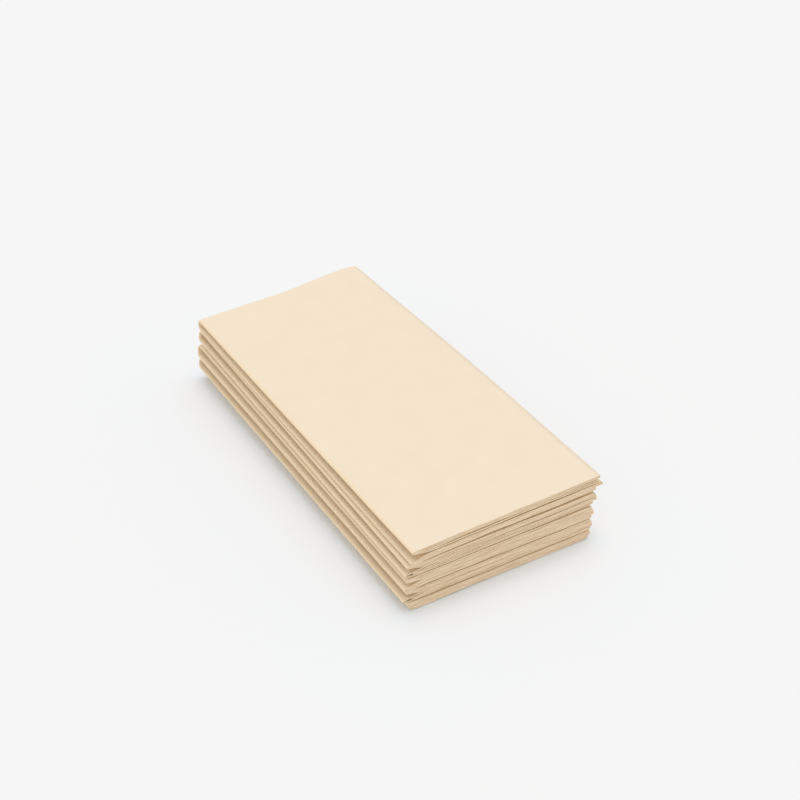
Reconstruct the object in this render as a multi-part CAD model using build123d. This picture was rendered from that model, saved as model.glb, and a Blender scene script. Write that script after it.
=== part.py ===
from build123d import *
import math
import os

# Stack of five dinner napkins of soft cream paper, each one sheet folded to an eighth of its size.
# Frame: X across the stack from the long folds to the long cut edges, Y along it from the cut
# front ends to the cross folds, Z up, with the origin on the table under the middle of the stack.

# The sheet, opened out
SHEET_WIDTH = 381.0  # the side that is folded in four
SHEET_LENGTH = 431.8  # the side that is folded in two
PAPER = 0.45  # thickness of one layer

# Long folds: the sheet is folded twice along its length, which makes a leaf of four layers
FOLD_GAP = 0.08  # air between the layers where the long fold presses them together
LAYER_SPRING = 0.22  # how much further a loose napkin's layers stand apart away from that fold
NOSE_LENGTH = 2.5  # width of the pressed strip along the long fold
FOLD_REACH = 8.0  # distance from the long fold at which the layers have sprung apart
CUT_SETBACK = 1.0  # how far the long cut edges stop short of the crease beside them
CREASE_RISE = 0.4  # how far a loose leaf's creased half lifts off its cut half at the cut side

# Cross fold: the last fold, which lays one leaf over the other
LEAF_GAP = 1.25  # opening between the two leaves of a loose napkin, at its front left corner
OPENS_ACROSS = 0.3  # how much wider that opening is at the cut side
OPENS_ALONG = 1.1  # how much wider that opening is at the cross fold
BEND_FLATS = 6  # flats in the half turn of the cross fold

# The stack, from the table up
NAMES = ("bottom_napkin", "second_napkin", "middle_napkin", "fourth_napkin", "top_napkin")
SPRING = (0.05, 1.1, 1.15, 0.9, 1.05)  # share of a loose napkin's openings that each one keeps
SHIFT_ACROSS = (0.0, -1.0, 0.1, 0.4, 1.5)  # how far each napkin lies from square on the one below
SHIFT_ALONG = (0.0, 0.5, -0.4, 0.3, -1.0)
TURN = (0.0, 0.25, 0.05, 0.15, 0.35)  # degrees
REST_GAP = 0.03  # air between one napkin and the next

LAYERS = 4  # layers in a leaf
EIGHTH_TURN = 1 - math.tan(math.pi / 8)  # corner of a square cut off to make it an octagon, per half side
napkin_width = SHEET_WIDTH / LAYERS
napkin_length = SHEET_LENGTH / 2


def leaf_section(spring):
    """The sheet in a lower leaf, seen along Y: four layers, the outermost at the bottom."""
    pressed = PAPER + FOLD_GAP
    loose = pressed + spring * LAYER_SPRING
    nose = (3 * pressed + PAPER) / 2
    cut = napkin_width - CUT_SETBACK
    crease = napkin_width - (loose + PAPER) / 2

    def layer(k, above, end, lift=0.0):
        """The lower or upper face of layer k, from the nose of the fold to the layer's end."""
        low = k * pressed + above * PAPER
        high = k * loose + above * PAPER
        return [(nose, low), (NOSE_LENGTH, low), (FOLD_REACH, high), (end, high + lift)]

    def hidden_turn(tip, start, end):
        """Three flats round a turn that is hidden inside the fold, from one height to another."""
        corner = (nose - tip) * EIGHTH_TURN
        towards = math.copysign(corner, end - start)
        return [
            (nose, start),
            (tip + corner, start),
            (tip, start + towards),
            (tip, end - towards),
            (tip + corner, end),
            (nose, end),
        ]

    lift = spring * CREASE_RISE
    crease_low = layer(2, 0, crease, lift)
    crease_high = layer(3, 1, crease, lift)
    crease_middle = (crease_low[-1][1] + crease_high[-1][1]) / 2
    outside = [
        Line((cut, 0), (nose, 0)),
        ThreePointArc((nose, 0), (0, nose), (nose, 2 * nose)),
        Polyline(*crease_high),
        ThreePointArc(crease_high[-1], (napkin_width, crease_middle), crease_low[-1]),
        Polyline(*reversed(crease_low), *layer(1, 1, cut)),
    ]
    inside = Polyline(
        (cut, PAPER),
        *hidden_turn(PAPER, PAPER, 3 * pressed),
        *layer(3, 0, crease, lift)[1:],
        *reversed(layer(2, 1, crease, lift)[1:]),
        *hidden_turn(pressed, 2 * pressed + PAPER, pressed),
        *layer(1, 0, cut)[1:],
    )
    cut_edges = [
        Line((cut, 0), (cut, PAPER)),
        Line((cut, loose), (cut, loose + PAPER)),
    ]
    return Face(Wire([edge for line in (*outside, inside, *cut_edges) for edge in line.edges()]))


def make_napkin(spring):
    """One folded napkin on the XY plane, front left corner at the origin, and the plane of its top."""
    front = Plane.XZ * leaf_section(spring)
    leaf_height = LAYERS * PAPER + (LAYERS - 1) * (FOLD_GAP + spring * LAYER_SPRING)

    # The leaves mirror each other in a plane that rises to the cut side and to the cross fold
    rise_across = spring * (CREASE_RISE + OPENS_ACROSS / 2)
    rise_along = spring * OPENS_ALONG / 2
    halfway = Vector(0, 0, leaf_height + spring * LEAF_GAP / 2)
    normal = Vector(-rise_across / napkin_width, -rise_along / napkin_length, 1).normalized()

    def reflect(vector):
        return vector - normal * (2 * vector.dot(normal))

    # The cross fold carries the section round a hinge line between the leaves, in short flats
    bend_start = napkin_length - halfway.Z - rise_across - rise_along
    hinge = Axis(
        halfway + Vector(0, bend_start, rise_along * bend_start / napkin_length),
        (napkin_width, 0, rise_across),
    )
    bend_angle = 180 + 2 * math.degrees(math.asin(-normal.Y))
    bend_end = Pos(0, bend_start, 0) * front
    bend = [bend_end.rotate(hinge, bend_angle * k / BEND_FLATS) for k in range(BEND_FLATS + 1)]
    upper_front = Pos(reflect(Vector(0, -bend_start, 0))) * bend[-1]
    napkin = loft([front, *bend, upper_front], ruled=True)

    top = Plane(
        halfway + reflect(-halfway) + reflect(Vector(0, 0, -REST_GAP)),
        x_dir=reflect(Vector(1, 0, 0)),
        z_dir=reflect(Vector(0, 0, -1)),
    )
    return napkin, top


os.makedirs("parts", exist_ok=True)

stack = {}
seat = Location()
middle = Pos(napkin_width / 2, napkin_length / 2, 0)
for name, spring, across, along, turn in zip(NAMES, SPRING, SHIFT_ACROSS, SHIFT_ALONG, TURN):
    napkin, top = make_napkin(spring)
    seat = seat * Pos(across, along, 0) * middle * Rot(0, 0, turn) * middle.inverse()
    stack[name] = seat * napkin
    seat = seat * top.location

box = Compound(list(stack.values())).bounding_box()
to_origin = Pos(-box.center().X, -box.center().Y, -box.min.Z)
for name, napkin in stack.items():
    export_step(to_origin * napkin, f"parts/{name}.step")
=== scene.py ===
import math

import bpy
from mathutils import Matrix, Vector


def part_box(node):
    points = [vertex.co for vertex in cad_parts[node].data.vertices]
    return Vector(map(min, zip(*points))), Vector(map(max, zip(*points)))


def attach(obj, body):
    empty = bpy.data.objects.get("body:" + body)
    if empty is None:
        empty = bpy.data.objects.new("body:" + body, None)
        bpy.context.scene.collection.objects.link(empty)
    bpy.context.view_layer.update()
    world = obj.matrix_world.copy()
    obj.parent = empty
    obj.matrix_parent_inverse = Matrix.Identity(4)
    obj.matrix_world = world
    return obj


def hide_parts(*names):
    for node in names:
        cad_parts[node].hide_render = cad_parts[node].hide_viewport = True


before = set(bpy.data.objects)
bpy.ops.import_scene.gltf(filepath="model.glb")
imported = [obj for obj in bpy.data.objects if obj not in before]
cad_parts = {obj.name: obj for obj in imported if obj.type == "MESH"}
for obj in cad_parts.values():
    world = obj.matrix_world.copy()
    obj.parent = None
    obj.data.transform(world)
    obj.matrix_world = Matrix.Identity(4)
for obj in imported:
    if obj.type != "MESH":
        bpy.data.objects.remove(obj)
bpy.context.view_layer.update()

# The napkins
# Five loose dinner napkins of soft cream paper. Each is one sheet, folded twice along its length
# into a leaf of four layers and then once across, which lays one leaf over the other.

MM = 0.001
NAPKIN_WIDTH = 95.25 * MM
NAPKIN_LENGTH = 215.9 * MM
LAYERS = 4  # in a leaf
PAPER = 0.42 * MM  # thickness of one layer, pressed in the long fold
FULL_PAPER = 0.74 * MM  # the most that the soft paper fills out to where nothing presses it
FOLD_GAP = 0.06 * MM  # air between layers that lie together
NOSE = 2.6 * MM  # length of the sharp nose that the outer layers make at the long fold
INNER_NOSE = 1.3 * MM  # length of the nose that the inner layers make, inside the first
NOSE_AIR = 0.54 * MM  # how much sooner that one starts
CREASE_TURN = 0.3 * MM  # bend of the crease at the other long side
BEND_DEPTH = 2.2 * MM  # length of the bend at the cross fold
BEND_SHARPNESS = 0.6  # that length as part of the bend's half height

pressed = PAPER + FOLD_GAP  # from one layer to the next in the pressed fold
outer_half = 1.5 * pressed  # half height of the nose, to the middle of the paper
inner_half = 0.5 * pressed
outer_turn = math.hypot(NOSE, outer_half) / math.sqrt(2)  # radius of a bend as long as the nose
nose = PAPER / 2 + NOSE
inner_turn = math.hypot(INNER_NOSE, inner_half) / math.sqrt(2)
inner_nose = nose - NOSE_AIR
crease = NAPKIN_WIDTH - PAPER / 2 - CREASE_TURN
quarter = math.pi / 2

# The flat sheet is ruled with the fold lines where its four panels turn
first_fold = NAPKIN_WIDTH - nose + quarter * outer_turn
middle_fold = first_fold + quarter * outer_turn + crease - nose + quarter * CREASE_TURN
last_fold = middle_fold + quarter * CREASE_TURN + crease - inner_nose + quarter * inner_turn
sheet_width = last_fold + quarter * inner_turn + NAPKIN_WIDTH - inner_nose
bend_start = NAPKIN_LENGTH - BEND_DEPTH
cross_fold = bend_start + quarter * BEND_DEPTH
sheet_length = 2 * cross_fold

# Between the folds, further lines let the paper curve
TURN_STEPS = 5  # in each half of a turn
FOLD_STEP = 0.4 * MM  # the first step away from a long fold, or from the front
BEND_STEP = 0.5 * MM  # the first step away from the cross fold
STEP_GROWTH = 1.3  # each step against the one before
WIDEST_STEP = 4 * MM
LAST_STEP = 1.5  # room that the last line leaves, in steps
FRONT_LINES = 8
FRONT_GROWTH = 1.35


def ruling(fold, turn, ends, first_step):
    """Lines across a fold: close together round its turn and further apart away from it."""
    lines = [fold + quarter * turn * (k / TURN_STEPS - 1) for k in range(2 * TURN_STEPS + 1)]
    for end, side in zip(ends, (-1, 1)):
        place = fold + side * quarter * turn
        step = first_step
        while side * (end - place) > LAST_STEP * step:
            place += side * step
            step = min(step * STEP_GROWTH, WIDEST_STEP)
            lines.append(place)
    return lines


panel_ends = (0.0, (first_fold + middle_fold) / 2, (middle_fold + last_fold) / 2, sheet_width)
long_folds = ((first_fold, outer_turn), (middle_fold, CREASE_TURN), (last_fold, inner_turn))
columns = set(panel_ends)
for k, (line, turn) in enumerate(long_folds):
    columns.update(ruling(line, turn, panel_ends[k : k + 2], FOLD_STEP))
columns = sorted(columns)

front_rows = [FOLD_STEP * FRONT_GROWTH**k for k in range(FRONT_LINES)]
leaf_ends = (front_rows[-1], sheet_length - front_rows[-1])
rows = {0.0, sheet_length, *front_rows, *(sheet_length - row for row in front_rows)}
rows.update(ruling(cross_fold, BEND_DEPTH, leaf_ends, BEND_STEP))
rows = sorted(rows)

flat_sheet = bpy.data.meshes.new("flat_sheet")
wide = len(columns)
flat_sheet.from_pydata(
    [(u, v, 0.0) for v in rows for u in columns],
    [],
    [
        (corner, corner + 1, corner + 1 + wide, corner + wide)
        for j in range(len(rows) - 1)
        for corner in range(j * wide, (j + 1) * wide - 1)
    ],
)


class Socket:
    """An output in a node tree. Sums on it add Math nodes, and node() adds any other node."""

    def __init__(self, tree, output):
        self.tree = tree
        self.output = output

    @classmethod
    def node(cls, tree, kind, settings=(), inputs=()):
        """A new node with its settings made first, then its inputs. Gives its first output."""
        new = tree.nodes.new(kind)
        for name, value in dict(settings).items():
            setattr(new, name, value)
        for key, value in dict(inputs).items():
            if isinstance(key, int):
                socket = new.inputs[key]
            else:
                socket = next(s for s in new.inputs if key in (s.identifier, s.name))
            if isinstance(value, Socket):
                tree.links.new(value.output, socket)
            else:
                socket.default_value = value
        return cls(tree, new.outputs[0]) if new.outputs else None

    def out(self, name):
        """Another output of the same node."""
        outputs = self.output.node.outputs
        return Socket(self.tree, next(s for s in outputs if name in (s.identifier, s.name)))

    def math(self, operation, *others):
        return Socket.node(
            self.tree, "ShaderNodeMath", {"operation": operation}, enumerate((self, *others))
        )

    def __add__(self, other):
        return self.math("ADD", other)

    __radd__ = __add__

    def __mul__(self, other):
        return self.math("MULTIPLY", other)

    __rmul__ = __mul__

    def __sub__(self, other):
        return self.math("SUBTRACT", other)

    def __rsub__(self, other):
        return self * -1 + other

    def __truediv__(self, other):
        return self.math("DIVIDE", other)

    def __pow__(self, other):
        return self.math("POWER", other)

    def clamp(self, low=0.0, high=1.0):
        return self.math("MAXIMUM", low).math("MINIMUM", high)

    def ease(self, start, end, low=0.0, high=1.0):
        """Goes smoothly from low to high as this value goes from start to end."""
        return Socket.node(
            self.tree,
            "ShaderNodeMapRange",
            {"interpolation_type": "SMOOTHSTEP"},
            {"Value": self, "From Min": start, "From Max": end, "To Min": low, "To Max": high},
        )


# One tree folds every napkin, each with sizes of its own
CORNERS = ("near left", "near right", "far left", "far right")
LEAVES = ("Lower", "Upper")
SIDES = ("fold", "cut", "crease")
ENDS = ("near", "far")
SIZES = (
    *(f"Rest {corner}" for corner in CORNERS),
    *(f"Height {corner}" for corner in CORNERS),
    *(f"{leaf} {side} {end}" for leaf in LEAVES for side in SIDES for end in ENDS),
    *(f"{leaf} {edge}" for edge in ("lift", "pinch") for leaf in LEAVES),
    "Gap left",
    "Gap right",
    "Fullness",
    "Hollow",
    "Covered",
    "Centre across",
    "Centre along",
    "Turn",
    "Seed",
)
fold_tree = bpy.data.node_groups.new("fold_a_napkin", "GeometryNodeTree")
fold_tree.interface.new_socket("Sheet", in_out="INPUT", socket_type="NodeSocketGeometry")
for size in SIZES:
    fold_tree.interface.new_socket(size, in_out="INPUT", socket_type="NodeSocketFloat")
fold_tree.interface.new_socket("Paper", in_out="INPUT", socket_type="NodeSocketMaterial")
fold_tree.interface.new_socket("Napkin", in_out="OUTPUT", socket_type="NodeSocketGeometry")


def add(kind, settings=(), inputs=()):
    return Socket.node(fold_tree, kind, settings, inputs)


def waver(place, per_metre, other, detail=1.0):
    """Smooth unevenness between 0 and 1 over a place, different for each other value."""
    return add(
        "ShaderNodeTexNoise",
        {"noise_dimensions": "4D"},
        {"Vector": place, "W": other, "Scale": per_metre, "Detail": detail, "Roughness": 0.5},
    )


def vector(x, y, z):
    return add("ShaderNodeCombineXYZ", (), {"X": x, "Y": y, "Z": z})


given = add("NodeGroupInput")
flat = add("GeometryNodeInputPosition")
u = add("ShaderNodeSeparateXYZ", (), {"Vector": flat}).out("X")
v = u.out("Y")
seed = given.out("Seed")


def fold(place, line, turn):
    """The angle turned at a place on the sheet, from a quarter back to a quarter on, and how far past."""
    off = place - line
    reach = quarter * turn
    angle = (off / reach).clamp(-1.0, 1.0) * quarter
    return angle, (off.math("ABSOLUTE") - reach).math("MAXIMUM", 0.0)


# Across the sheet: x from the long fold, and the layer, counted from the outermost. The first fold
# goes from layer 0 to layer 3, the crease on to 2, and the last fold, inside the first, on to 1
angle, past = fold(u, first_fold, outer_turn)
outer_x = past + nose - angle.math("COSINE") * NOSE
outer_layer = angle.math("SINE") * 1.5 + 1.5
angle, past = fold(u, middle_fold, CREASE_TURN)
crease_x = angle.math("COSINE") * CREASE_TURN + crease - past
crease_layer = 2.5 - angle.math("SINE") * 0.5
crease_tip = angle.math("COSINE")
angle, past = fold(u, last_fold, inner_turn)
inner_x = past + inner_nose - angle.math("COSINE") * INNER_NOSE
inner_layer = 1.5 - angle.math("SINE") * 0.5
past_inner_tip = angle.math("SINE").math("ABSOLUTE")
is_crease = u.math("GREATER_THAN", panel_ends[1])
is_inner = u.math("GREATER_THAN", panel_ends[2])


def pick(first, second, third):
    """The value for the fold that a place on the sheet is nearest to."""
    return first + is_crease * (second - first) + is_inner * (third - second)


from_fold = pick(outer_x, crease_x, inner_x)
layer = pick(outer_layer, crease_layer, inner_layer)
share_across = from_fold / NAPKIN_WIDTH

# Along the sheet: y from the cut front ends, and the angle turned in the cross fold
angle, before_bend = fold(v, cross_fold, BEND_DEPTH)
turned = angle + quarter
from_ends = bend_start - before_bend
is_upper = turned / math.pi
from_front = 1 - from_ends / NAPKIN_LENGTH

# The soft paper is crushed thinner where a fold turns tightly, so that its layers lie in each other
CREASE_CRUSH = 0.3  # part of the thickness lost at the crease
TIP_THICKNESS = 0.08  # part of it left at the tip of the inner nose
at_inner_nose = past_inner_tip * (1 - TIP_THICKNESS) + TIP_THICKNESS
crushed = pick(1.0, 1 - crease_tip * CREASE_CRUSH, at_inner_nose)
crushed = crushed / (turned.math("SINE") ** 2 * (BEND_SHARPNESS**-2 - 1) + 1).math("SQRT")

# The inner fold stops short of the outer one near the front of some lower leaves
HOLLOW_ALONG = (4 * MM, 18 * MM)  # where it starts to close, and is closed, behind the front
HOLLOW_ACROSS = 20 * MM  # how far from the fold the layers are back in place
hollow = given.out("Hollow") * from_ends.ease(*HOLLOW_ALONG, 1.0, 0.0) * (1 - is_upper)
hollow = hollow * u.math("GREATER_THAN", middle_fold)
x = from_fold + hollow * from_fold.ease(nose, HOLLOW_ACROSS, 1.0, 0.0)

# The two leaves are not square on each other: the fold, the cut edges and the crease of each stand
# out by amounts of their own, and their sides are a little wavy
SIDE_WAVE = 0.5 * MM
SIDE_WAVES = 16.0  # per metre
SIDE_SEED = 13.0  # a seed that sets the upper leaf's waves apart from the lower leaf's


def of_leaf(what):
    lower = given.out(f"Lower {what}")
    return lower + (given.out(f"Upper {what}") - lower) * is_upper


def between_ends(side):
    far = of_leaf(f"{side} far")
    return far + (of_leaf(f"{side} near") - far) * from_front


is_crease_pair = u.math("GREATER_THAN", first_fold) * u.math("LESS_THAN", last_fold)
at_fold = (1 - share_across) ** 2
at_cut = share_across**2
cut_out = between_ends("cut")
cut_side = cut_out + (between_ends("crease") - cut_out) * is_crease_pair
x = x + between_ends("fold") * at_fold + cut_side * at_cut
side_waves = waver(vector(0.0, from_ends, 0.0), SIDE_WAVES, seed + is_upper * SIDE_SEED)
x = x + (side_waves - 0.5) * SIDE_WAVE

# Nor are the cut front ends of the layers in line, or quite square to the sides
FRONT_STEP = 1.0 * MM
FRONT_STEPS = 40.0  # per metre, before they are stretched
FRONT_STRETCH = 0.4
FRONT_REACH = 40 * MM
FRONT_SKEW = 1.2 * MM
LAYER_SEED = 4.1  # seeds that set the front end of each layer apart
LEAF_SEED = 17.0
own_seed = seed + layer * LAYER_SEED + is_upper * LEAF_SEED
uneven = waver(vector(x * FRONT_STRETCH, 0.0, 0.0), FRONT_STEPS, own_seed) - 0.5
front_step = uneven * FRONT_STEP * from_ends.ease(0.0, FRONT_REACH, 1.0, 0.0)
y = from_ends + front_step - (1 - share_across) * from_front * FRONT_SKEW

# The napkin lies on the one below, turned a little
turn = given.out("Turn")
to_x = x - NAPKIN_WIDTH / 2
to_y = y - NAPKIN_LENGTH / 2
cosine = turn.math("COSINE")
sine = turn.math("SINE")
stack_x = given.out("Centre across") + to_x * cosine - to_y * sine
stack_y = given.out("Centre along") + to_x * sine + to_y * cosine
across = stack_x / NAPKIN_WIDTH + 0.5
along = stack_y / NAPKIN_LENGTH + 0.5


def over_corners(kind):
    """A height that runs evenly between the four corners."""
    near_left, near_right, far_left, far_right = (given.out(f"{kind} {corner}") for corner in CORNERS)
    near = near_left + (near_right - near_left) * across
    far = far_left + (far_right - far_left) * across
    return near + (far - near) * along


height = over_corners("Height")
rest = over_corners("Rest")

# The paper is fuller away from the pressed fold, as far as the height of the napkin leaves room for
# it, and a leaf is pinched together at its edges, which draws it away from the next napkin there
NOSE_LENGTH = 1.0 * MM
FOLD_REACH = 10.0 * MM
EDGE_REACH = 7.0 * MM
CUT_PINCH = 0.45
LEAST_PINCH = 0.6  # the front's pinch at its weakest, and how much stronger it gets in places
PINCH_RANGE = 0.8
PINCHES = 60.0  # per metre
PINCH_SEED = 7.0
covered = 1 - (1 - given.out("Covered")) * is_upper  # nothing lies on the top leaf
opening = from_fold.ease(NOSE_LENGTH, FOLD_REACH)
full = height / (2 * LAYERS) * given.out("Fullness")
full = full.math("MAXIMUM", PAPER).math("MINIMUM", FULL_PAPER)
thickness = PAPER + (full - PAPER) * opening
pitch = thickness + FOLD_GAP
spare = height / 2 - pitch * (LAYERS - 1) - thickness
in_places = waver(vector(stack_x, 0.0, 0.0), PINCHES, seed + is_upper * PINCH_SEED, 2.0)
at_front = of_leaf("pinch") * y.ease(0.0, EDGE_REACH, 1.0, 0.0) * opening
at_front = at_front * (in_places * PINCH_RANGE + LEAST_PINCH)
at_cut_side = (NAPKIN_WIDTH - from_fold).ease(0.0, EDGE_REACH, CUT_PINCH, 0.0) * covered
at_long_fold = of_leaf("lift") * from_fold.ease(0.0, FOLD_REACH, 1.0, 0.0)
pinch = at_front.math("MAXIMUM", at_cut_side).math("MAXIMUM", at_long_fold)
raised = spare * pinch

# The spare height that is left goes unevenly to the three gaps between a leaf's layers and to half of
# the gap between the leaves
UNEVENNESS = 3.2
GAP_WAVES = 28.0  # per metre
GAP_SEED = 3.7  # seeds that set each gap apart
GAP_LEAF_SEED = 11.3
here = vector(stack_x, stack_y, 0.0)
gaps = [
    (waver(here, GAP_WAVES, seed + k * GAP_SEED + is_upper * GAP_LEAF_SEED) * 2) ** UNEVENNESS
    for k in range(LAYERS - 1)
]
gap_left = given.out("Gap left")
leaf_gap = gap_left + (given.out("Gap right") - gap_left) * share_across
shares = sum(gaps) + leaf_gap
below_layer = sum(gap * (layer - k).clamp() for k, gap in enumerate(gaps))
depth = raised + layer * pitch + thickness / 2 + (spare - raised) * opening * below_layer / shares

radius = height / 2 - depth
folded_y = stack_y + radius * turned.math("SINE") * BEND_SHARPNESS
folded_z = rest + height / 2 - radius * turned.math("COSINE")

# The whole stack is a little uneven: its cut side swells in the middle, its far edge dips and
# curls up at the corner, the top leaf droops towards its fold and the front ends lift. Where each
# of these comes in is given as a share of the stack's width or length
STACK_HEIGHT = 36 * MM
SWELL = 1.7 * MM
DIP = 0.5 * MM
DIP_ALONG = (0.55, 1.0)
CURL = 1.5 * MM
CURL_ACROSS = (0.45, 0.85)
CURL_ALONG = (0.75, 1.0)
CURL_LOST = (0.9, 1.0)  # where the curl gives way again, beside the cut edges
CURL_LEFT = 0.3  # part of it left there
DROOP = 0.3 * MM
DROOP_ACROSS = (-0.02, 0.25)
FRONT_LIFT = 0.65 * MM
LIFT_ALONG = (0.0, 0.12)
LIFT_WAVES = 25.0  # per metre
LIFT_SEED = 2.0
STACK_WAVE = 0.5 * MM
STACK_WAVES = 14.0  # per metre
STACK_SEED = 5.0
OVERHANG = 1.05  # the furthest across at which the stack is still uneven
level = folded_z / STACK_HEIGHT
right = across.clamp(0.0, OVERHANG)


def hump(share):
    """Rises from 0 to 1 half way and falls to 0 again."""
    return (share * (1 - share) * 4).math("MAXIMUM", 0.0)


swell = right * right * hump(along) * SWELL
dip = hump(right) * along.ease(*DIP_ALONG) * DIP
curl = right.ease(*CURL_ACROSS) * right.ease(*CURL_LOST, 1.0, CURL_LEFT) * along.ease(*CURL_ALONG) * CURL
droop = right.ease(*DROOP_ACROSS, 1.0, 0.0) * DROOP
wave = (waver(here, STACK_WAVES, STACK_SEED) - 0.5) * STACK_WAVE
lift = waver(vector(stack_x, 0.0, 0.0), LIFT_WAVES, LIFT_SEED) * FRONT_LIFT
lift = lift * along.ease(*LIFT_ALONG, 1.0, 0.0)
settled_z = folded_z + level * level * (swell - dip + curl - level * droop) + level * wave + lift

# A mask for painted shade: how deep the outside of the fold lies between the leaves, or between two
# napkins. There the paper is painted darker, as the shade in the crevice
LIP = (1.3 * MM, 3.8 * MM)
OPEN_BEND = 4 * MM  # the cross fold lies open, as far as this in front of it
from_lip = u - first_fold
under_next = (from_lip * -1).ease(*LIP) * covered * before_bend.ease(0.0, OPEN_BEND)
crevice_shade_mask = from_lip.ease(*LIP).math("MAXIMUM", under_next)


def keep(geometry, name, kind, value, domain="POINT"):
    """The geometry with a named value kept on it."""
    return add(
        "GeometryNodeStoreNamedAttribute",
        {"data_type": kind, "domain": domain},
        {"Geometry": geometry, "Name": name, "Value": value},
    )


def recall(name, kind):
    return add("GeometryNodeInputNamedAttribute", {"data_type": kind}, {"Name": name})


marked = keep(given.out("Sheet"), "sheet", "FLOAT_VECTOR", flat)
# the mask for the painted shade in the crevices
marked = keep(marked, "crevice_shade_mask", "FLOAT", crevice_shade_mask)
marked = keep(marked, "thickness", "FLOAT", thickness * crushed)
folded = add(
    "GeometryNodeSetPosition",
    (),
    {"Geometry": marked, "Position": vector(stack_x, folded_y, settled_z)},
)

# The sheet gets its thickness, half to each side, with square cut edges
SEAM = 0.001 * MM  # points nearer than this are one
folded = keep(folded, "facing", "FLOAT_VECTOR", add("GeometryNodeInputNormal"))
facing = recall("facing", "FLOAT_VECTOR")
through = recall("thickness", "FLOAT")
half_down = add(
    "ShaderNodeVectorMath", {"operation": "SCALE"}, {"Vector": facing, "Scale": through * -0.5}
)
under = add("GeometryNodeSetPosition", (), {"Geometry": folded, "Offset": half_down})
walls = add(
    "GeometryNodeExtrudeMesh",
    {"mode": "FACES"},
    {"Mesh": under, "Offset": facing, "Offset Scale": through, "Individual": False},
)
edged = keep(walls, "cut_edge", "FLOAT", walls.out("Side"), "FACE")
turned_under = add("GeometryNodeFlipFaces", (), {"Mesh": under})
joined = add("GeometryNodeJoinGeometry", (), {"Geometry": edged})
fold_tree.links.new(turned_under.output, joined.output.node.inputs["Geometry"])
closed = add("GeometryNodeMergeByDistance", (), {"Geometry": joined, "Distance": SEAM})
smooth = add(
    "GeometryNodeSetShadeSmooth",
    {"domain": "FACE"},
    {"Geometry": closed, "Shade Smooth": recall("cut_edge", "FLOAT").math("LESS_THAN", 0.5)},
)
real = add("GeometryNodeRealizeInstances", (), {"Geometry": smooth})
finished = add("GeometryNodeSetMaterial", (), {"Geometry": real, "Material": given.out("Paper")})
add("NodeGroupOutput", (), {"Napkin": finished})

# Soft uncoated paper: matt and faintly cloudy, with short fibres that lie every way. Shade is painted into
# its colour, darker and warmer where it is folded in, between the leaves and under the next napkin, and a
# paler, warmer line along the lip of the long fold is a painted highlight. Its cut edges are painted a
# warmer tan for the shade and bounced light of the layered sides, with streaks that are partly fibre and
# partly painted shade lines between the layers
CREAM = (0.92, 0.783, 0.612, 1.0)
CLOUD = (0.908, 0.768, 0.595, 1.0)
# painted highlight and warmer side tone: a paler, warmer line along the lip of the long fold
PAINTED_LIP_HIGHLIGHT = (0.955, 0.767, 0.53, 1.0)
# painted shade: darker, warmer paper in the crevices where the fold is tucked in
PAINTED_CREVICE_SHADE = (0.78, 0.605, 0.385, 1.0)
# cut edges, painted a warmer tan as the shade and warm bounced light of the layered sides
CUT_EDGE_PAINTED_SHADE = (0.95, 0.748, 0.52, 1.0)
# dark streaks in the cut edges: partly fibre, partly painted shade lines between the layers
CUT_STREAK_AND_PLY_SHADE = (0.80, 0.58, 0.365, 1.0)
FIBRE = (1.6 * MM, 0.14 * MM, 1.0)  # length and width
FIBRE_ANGLES = (15, 68, 121, 163)
STREAK = (11 * MM, 11 * MM, 0.55 * MM)  # length and height of a streak in a cut edge
CLOUDS = 70.0  # per metre
GRAINS = 2600.0  # per metre
FIBRE_EDGE = (0.52, 0.72)  # the levels of the noise between which each of these comes in
CLOUD_EDGE = (0.35, 0.68)
STREAK_EDGE = (0.45, 0.68)
CLOUD_TINT = 0.8  # how much of the deeper cream clouds and fibres have
FIBRE_TINT = 0.5
LIP_HIGHLIGHT_FADE = (0.8 * MM, 2.8 * MM)  # where the painted highlight along the lip starts to fade, and is gone
ROUGH = 0.95
FIBRE_SHINE = 0.08  # how much smoother a fibre is
SPECULAR = 0.15
RELIEF = 0.3
RELIEF_DEPTH = 0.03 * MM
FIBRE_RELIEF = 0.7  # share of the relief that is fibres, and grain
GRAIN_RELIEF = 0.3

cream_paper = bpy.data.materials.new("cream_paper")
cream_paper.use_nodes = True
paper_tree = cream_paper.node_tree
paper_tree.nodes.clear()


def paint(kind, settings=(), inputs=()):
    return Socket.node(paper_tree, kind, settings, inputs)


def blend(share, first, second):
    """From the first colour to the second as the share goes from 0 to 1."""
    return paint(
        "ShaderNodeMix", {"data_type": "RGBA"}, {"Factor_Float": share, "A_Color": first, "B_Color": second}
    ).out("Result_Color")


def speckle(place, scale, detail=2.0):
    return paint("ShaderNodeTexNoise", (), {"Vector": place, "Scale": scale, "Detail": detail})


def drawn_out(place, sizes, degrees=0):
    """The place, stretched for specks of these sizes that lie at this angle on the sheet."""
    return paint(
        "ShaderNodeMapping",
        {"vector_type": "TEXTURE"},
        {"Vector": place, "Rotation": (0.0, 0.0, math.radians(degrees)), "Scale": sizes},
    )


on_sheet = paint("ShaderNodeAttribute", {"attribute_name": "sheet"}).out("Vector")
on_cut = paint("ShaderNodeAttribute", {"attribute_name": "cut_edge"}).out("Fac")
# how much painted shade the crevices take
crevice_shade_share = paint("ShaderNodeAttribute", {"attribute_name": "crevice_shade_mask"}).out("Fac")
in_stack = paint("ShaderNodeTexCoord").out("Object")

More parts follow.
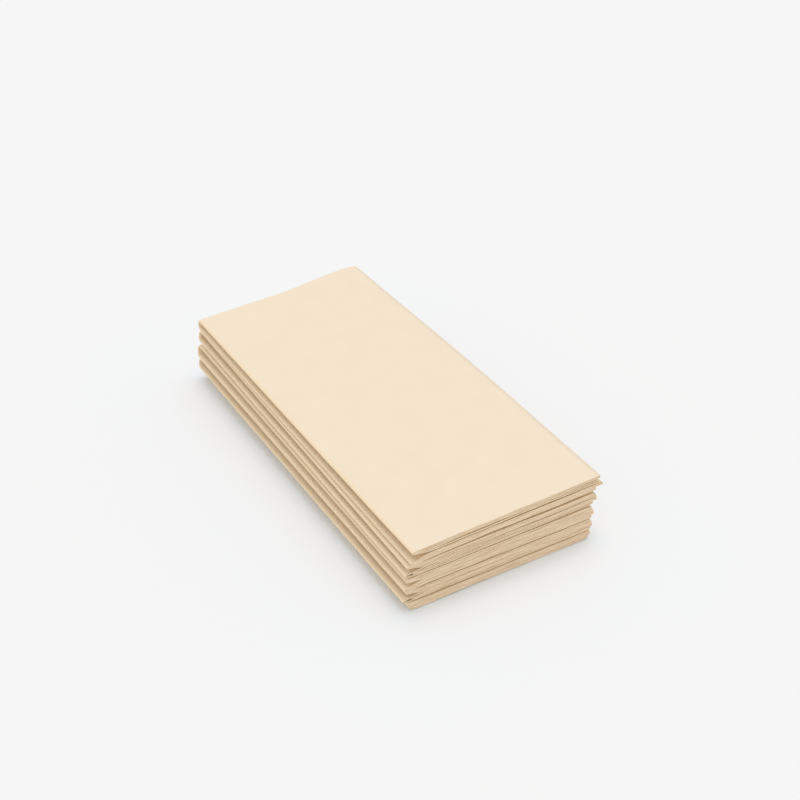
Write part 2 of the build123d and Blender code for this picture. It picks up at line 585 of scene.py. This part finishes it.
fibres = sum(
    speckle(drawn_out(on_sheet, FIBRE, degrees), 1.0, 1.0).ease(*FIBRE_EDGE)
    for degrees in FIBRE_ANGLES
)
fibres = fibres / len(FIBRE_ANGLES)
cloud = speckle(on_sheet, CLOUDS, 4.0).ease(*CLOUD_EDGE)
grain = speckle(on_sheet, GRAINS)
# streaks in the cut edges, partly fibre and partly painted shade lines between the layers
streaks_and_ply_shade = speckle(drawn_out(in_stack, STREAK), 1.0).ease(*STREAK_EDGE)
across_sheet = paint("ShaderNodeSeparateXYZ", (), {"Vector": on_sheet}).out("X")
# where the painted highlight along the lip of the long fold lies
lip_highlight_mask = (across_sheet - first_fold).math("ABSOLUTE").ease(*LIP_HIGHLIGHT_FADE, 1.0, 0.0)

face = blend(cloud * CLOUD_TINT + fibres * FIBRE_TINT, CREAM, CLOUD)
# painted highlight along the lip of the long fold
face = blend(lip_highlight_mask, face, PAINTED_LIP_HIGHLIGHT)
# painted shade where the paper is folded in
face = blend(crevice_shade_share, face, PAINTED_CREVICE_SHADE)
# cut edges: a painted warmer tan, with streaks partly fibre and partly painted shade between the layers
edge = blend(streaks_and_ply_shade, CUT_EDGE_PAINTED_SHADE, CUT_STREAK_AND_PLY_SHADE)
on_face = fibres * FIBRE_RELIEF + grain * GRAIN_RELIEF
height_of_surface = on_face + on_cut * (streaks_and_ply_shade - on_face)
relief = paint(
    "ShaderNodeBump", (), {"Strength": RELIEF, "Distance": RELIEF_DEPTH, "Height": height_of_surface}
)
paper = paint(
    "ShaderNodeBsdfPrincipled",
    (),
    {
        "Base Color": blend(on_cut, face, edge),
        "Roughness": ROUGH - fibres * FIBRE_SHINE,
        "Specular IOR Level": SPECULAR,
        "Normal": relief,
    },
)
paint("ShaderNodeOutputMaterial", (), {"Surface": paper})

# From the table up, in millimetres: height at the four corners; how far the fold, the cut edges and the
# crease of each leaf stand out at the near and the far end; the share of the spare height by which each
# leaf is lifted at its fold and pinched at its front end; the gap between the leaves at the fold and at
# the cut side, against one between layers; the part of the height that the paper fills; the hollow in
# the fold; and the turn in degrees
STACK = {
    "bottom_napkin": {
        "heights": (4.2, 4.1, 5.3, 4.8),
        "lower": ((-0.8, 2.8), (-0.9, 0.0), (-0.3, 0.3)),
        "upper": ((-2.1, 1.6), (0.0, 0.0), (0.8, 0.3)),
        "lift": (0.8, 0.1),
        "pinch": (0.0, 0.7),
        "gap": (3.0, 3.0),
        "fullness": 0.8,
        "hollow": 0.0,
        "turn": 0.6,
    },
    "second_napkin": {
        "heights": (6.7, 6.9, 7.4, 7.8),
        "lower": ((-2.4, -0.4), (2.2, 0.4), (3.2, 0.8)),
        "upper": ((-0.8, 0.4), (1.7, 0.2), (2.8, 0.6)),
        "lift": (0.2, 0.2),
        "pinch": (0.4, 0.65),
        "gap": (1.0, 1.0),
        "fullness": 0.68,
        "hollow": 3.5,
        "turn": 0.25,
    },
    "middle_napkin": {
        "heights": (6.9, 7.2, 8.8, 9.2),
        "lower": ((-2.0, -0.6), (1.8, 0.2), (3.2, 0.8)),
        "upper": ((-1.1, 0.4), (1.5, 0.2), (2.6, 0.6)),
        "lift": (0.15, 0.4),
        "pinch": (0.6, 0.25),
        "gap": (1.0, 0.8),
        "fullness": 0.68,
        "hollow": 0.0,
        "turn": 0.3,
    },
    "fourth_napkin": {
        "heights": (7.1, 7.9, 8.0, 9.7),
        "lower": ((-2.1, 0.7), (1.9, 0.3), (4.0, 1.0)),
        "upper": ((-1.2, 1.8), (2.1, 0.3), (3.6, 0.8)),
        "lift": (0.45, 0.2),
        "pinch": (0.25, 0.75),
        "gap": (1.2, 2.2),
        "fullness": 0.58,
        "hollow": 3.0,
        "turn": 0.45,
    },
    "top_napkin": {
        "heights": (7.7, 8.3, 6.9, 9.6),
        "lower": ((-1.6, 0.2), (0.5, -1.0), (4.2, -0.4)),
        "upper": ((-1.0, 0.2), (2.4, -1.6), (1.0, -2.2)),
        "lift": (0.2, 0.0),
        "pinch": (0.75, 0.0),
        "gap": (2.0, 3.0),
        "fullness": 0.6,
        "hollow": 0.0,
        "turn": 0.7,
    },
}
AIR = 0.03  # between one napkin and the next
NAPKIN_SEED = 10.0  # sets each napkin's unevenness apart

identifiers = {s.name: s.identifier for s in fold_tree.interface.items_tree if s.in_out == "INPUT"}
rest_heights = [0.0, 0.0, 0.0, 0.0]
for order, (name, shape) in enumerate(STACK.items()):
    low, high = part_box(name)
    napkin = bpy.data.objects.new(name + "_paper", flat_sheet)
    bpy.context.scene.collection.objects.link(napkin)
    fold_up = napkin.modifiers.new("fold", "NODES")
    fold_up.node_group = fold_tree
    stands_out = [size for leaf in ("lower", "upper") for side in shape[leaf] for size in side]
    is_covered = order + 1 < len(STACK)
    values = (
        *(size * MM for size in (*rest_heights, *shape["heights"], *stands_out)),
        *shape["lift"],
        *shape["pinch"],
        *shape["gap"],
        shape["fullness"],
        shape["hollow"] * MM,
        float(is_covered),
        (low.x + high.x) / 2,
        (low.y + high.y) / 2,
        math.radians(shape["turn"]),
        NAPKIN_SEED * order,
    )
    for size, value in zip(SIZES, values):
        fold_up[identifiers[size]] = value
    fold_up[identifiers["Paper"]] = cream_paper
    depsgraph = bpy.context.evaluated_depsgraph_get()
    plain = bpy.data.meshes.new_from_object(
        napkin.evaluated_get(depsgraph), preserve_all_data_layers=True, depsgraph=depsgraph
    )
    napkin.modifiers.remove(fold_up)
    napkin.data = plain
    plain.name = name + "_paper"
    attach(napkin, "root")
    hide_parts(name)
    rest_heights = [r + h + AIR for r, h in zip(rest_heights, shape["heights"])]

# The studio
# A plain pale table top under a soft overhead light, seen from above and in front of the long fold.

FLOOR_SIZE = 60.0
PALE = (0.898, 0.918, 0.948, 1.0)
PALE_NEARBY = (0.876, 0.922, 0.972, 1.0)  # cooler, against the warm light that comes off the paper
NEARBY = (20 * MM, 110 * MM)  # where that starts to fade, and has faded
GLOW = (0.942, 0.922, 0.896, 1.0)
EVEN_LIGHT = 0.55  # part of the table's look that takes no shadow, as on a bright sweep
BY_THE_STACK = 0.03  # the same part where the stack meets the table
SHADOW_REACH = 13 * MM
floor_mesh = bpy.data.meshes.new("floor")
half = FLOOR_SIZE / 2
floor_mesh.from_pydata(
    [(-half, -half, 0.0), (half, -half, 0.0), (half, half, 0.0), (-half, half, 0.0)], [], [(0, 1, 2, 3)]
)
floor = bpy.data.objects.new("floor", floor_mesh)
bpy.context.scene.collection.objects.link(floor)
pale_table = bpy.data.materials.new("pale_table")
pale_table.use_nodes = True
table_tree = pale_table.node_tree
table_tree.nodes.clear()


def looked_at(tree):
    """1 for a ray from the camera, straight or by way of gloss or glass, and 0 for any other."""
    ray = Socket.node(tree, "ShaderNodeLightPath")
    seen = ray.out("Is Camera Ray").math("MAXIMUM", ray.out("Is Glossy Ray"))
    return seen.math("MAXIMUM", ray.out("Is Transmission Ray"))


place = Socket.node(table_tree, "ShaderNodeTexCoord").out("Object")
place = Socket.node(table_tree, "ShaderNodeSeparateXYZ", (), {"Vector": place})
beside = (place.out("X").math("ABSOLUTE") - NAPKIN_WIDTH / 2).math("MAXIMUM", 0.0)
beyond = (place.out("Y").math("ABSOLUTE") - NAPKIN_LENGTH / 2).math("MAXIMUM", 0.0)
away = (beside * beside + beyond * beyond).math("SQRT")
shade = Socket.node(
    table_tree,
    "ShaderNodeMix",
    {"data_type": "RGBA"},
    {"Factor_Float": away.ease(*NEARBY), "A_Color": PALE_NEARBY, "B_Color": PALE},
).out("Result_Color")
matt = Socket.node(table_tree, "ShaderNodeBsdfDiffuse", (), {"Color": shade})
even = Socket.node(table_tree, "ShaderNodeEmission", (), {"Color": GLOW, "Strength": 1.0})
evenness = looked_at(table_tree) * away.ease(0.0, SHADOW_REACH, BY_THE_STACK, EVEN_LIGHT)
table = Socket.node(table_tree, "ShaderNodeMixShader", (), {0: evenness, 1: matt, 2: even})
Socket.node(table_tree, "ShaderNodeOutputMaterial", (), {"Surface": table})
floor_mesh.materials.append(pale_table)

WHITE = (1.0, 1.0, 1.0, 1.0)
SKY = 0.80
BACKDROP = 0.92
world = bpy.data.worlds.new("studio")
bpy.context.scene.world = world
world.use_nodes = True
sky_tree = world.node_tree
sky_tree.nodes.clear()
sky = Socket.node(sky_tree, "ShaderNodeBackground", (), {"Color": WHITE, "Strength": SKY})
backdrop = Socket.node(sky_tree, "ShaderNodeBackground", (), {"Color": WHITE, "Strength": BACKDROP})
around = Socket.node(sky_tree, "ShaderNodeMixShader", (), {0: looked_at(sky_tree), 1: sky, 2: backdrop})
Socket.node(sky_tree, "ShaderNodeOutputWorld", (), {"Surface": around})

SOFTBOX_STRENGTH = 0.68
SOFTBOX_SPREAD = math.radians(50)
SOFTBOX_TILT = (math.radians(-10), math.radians(14), 0.0)
softbox_light = bpy.data.lights.new("softbox", "SUN")
softbox_light.energy = SOFTBOX_STRENGTH
softbox_light.angle = SOFTBOX_SPREAD
softbox = bpy.data.objects.new("softbox", softbox_light)
softbox.rotation_euler = SOFTBOX_TILT
bpy.context.scene.collection.objects.link(softbox)

# The camera stands where the photograph was taken from
PIXELS = 800
FOCAL_PIXELS = 1500
SENSOR = 36.0
FARTHEST = 100.0
AZIMUTH = math.radians(-30.2)
ELEVATION = math.radians(33.54)
DISTANCE = 0.753
AIM = (0.02013, 0.01528, 0.015)
camera_data = bpy.data.cameras.new("camera")
camera_data.sensor_width = SENSOR
camera_data.lens = FOCAL_PIXELS * SENSOR / PIXELS
camera_data.clip_end = FARTHEST
camera = bpy.data.objects.new("camera", camera_data)
camera.location = (
    AIM[0] + DISTANCE * math.sin(AZIMUTH) * math.cos(ELEVATION),
    AIM[1] - DISTANCE * math.cos(AZIMUTH) * math.cos(ELEVATION),
    AIM[2] + DISTANCE * math.sin(ELEVATION),
)
camera.rotation_euler = (math.pi / 2 - ELEVATION, 0.0, AZIMUTH)
bpy.context.scene.collection.objects.link(camera)
bpy.context.scene.camera = camera
bpy.context.scene.view_settings.view_transform = "Standard"
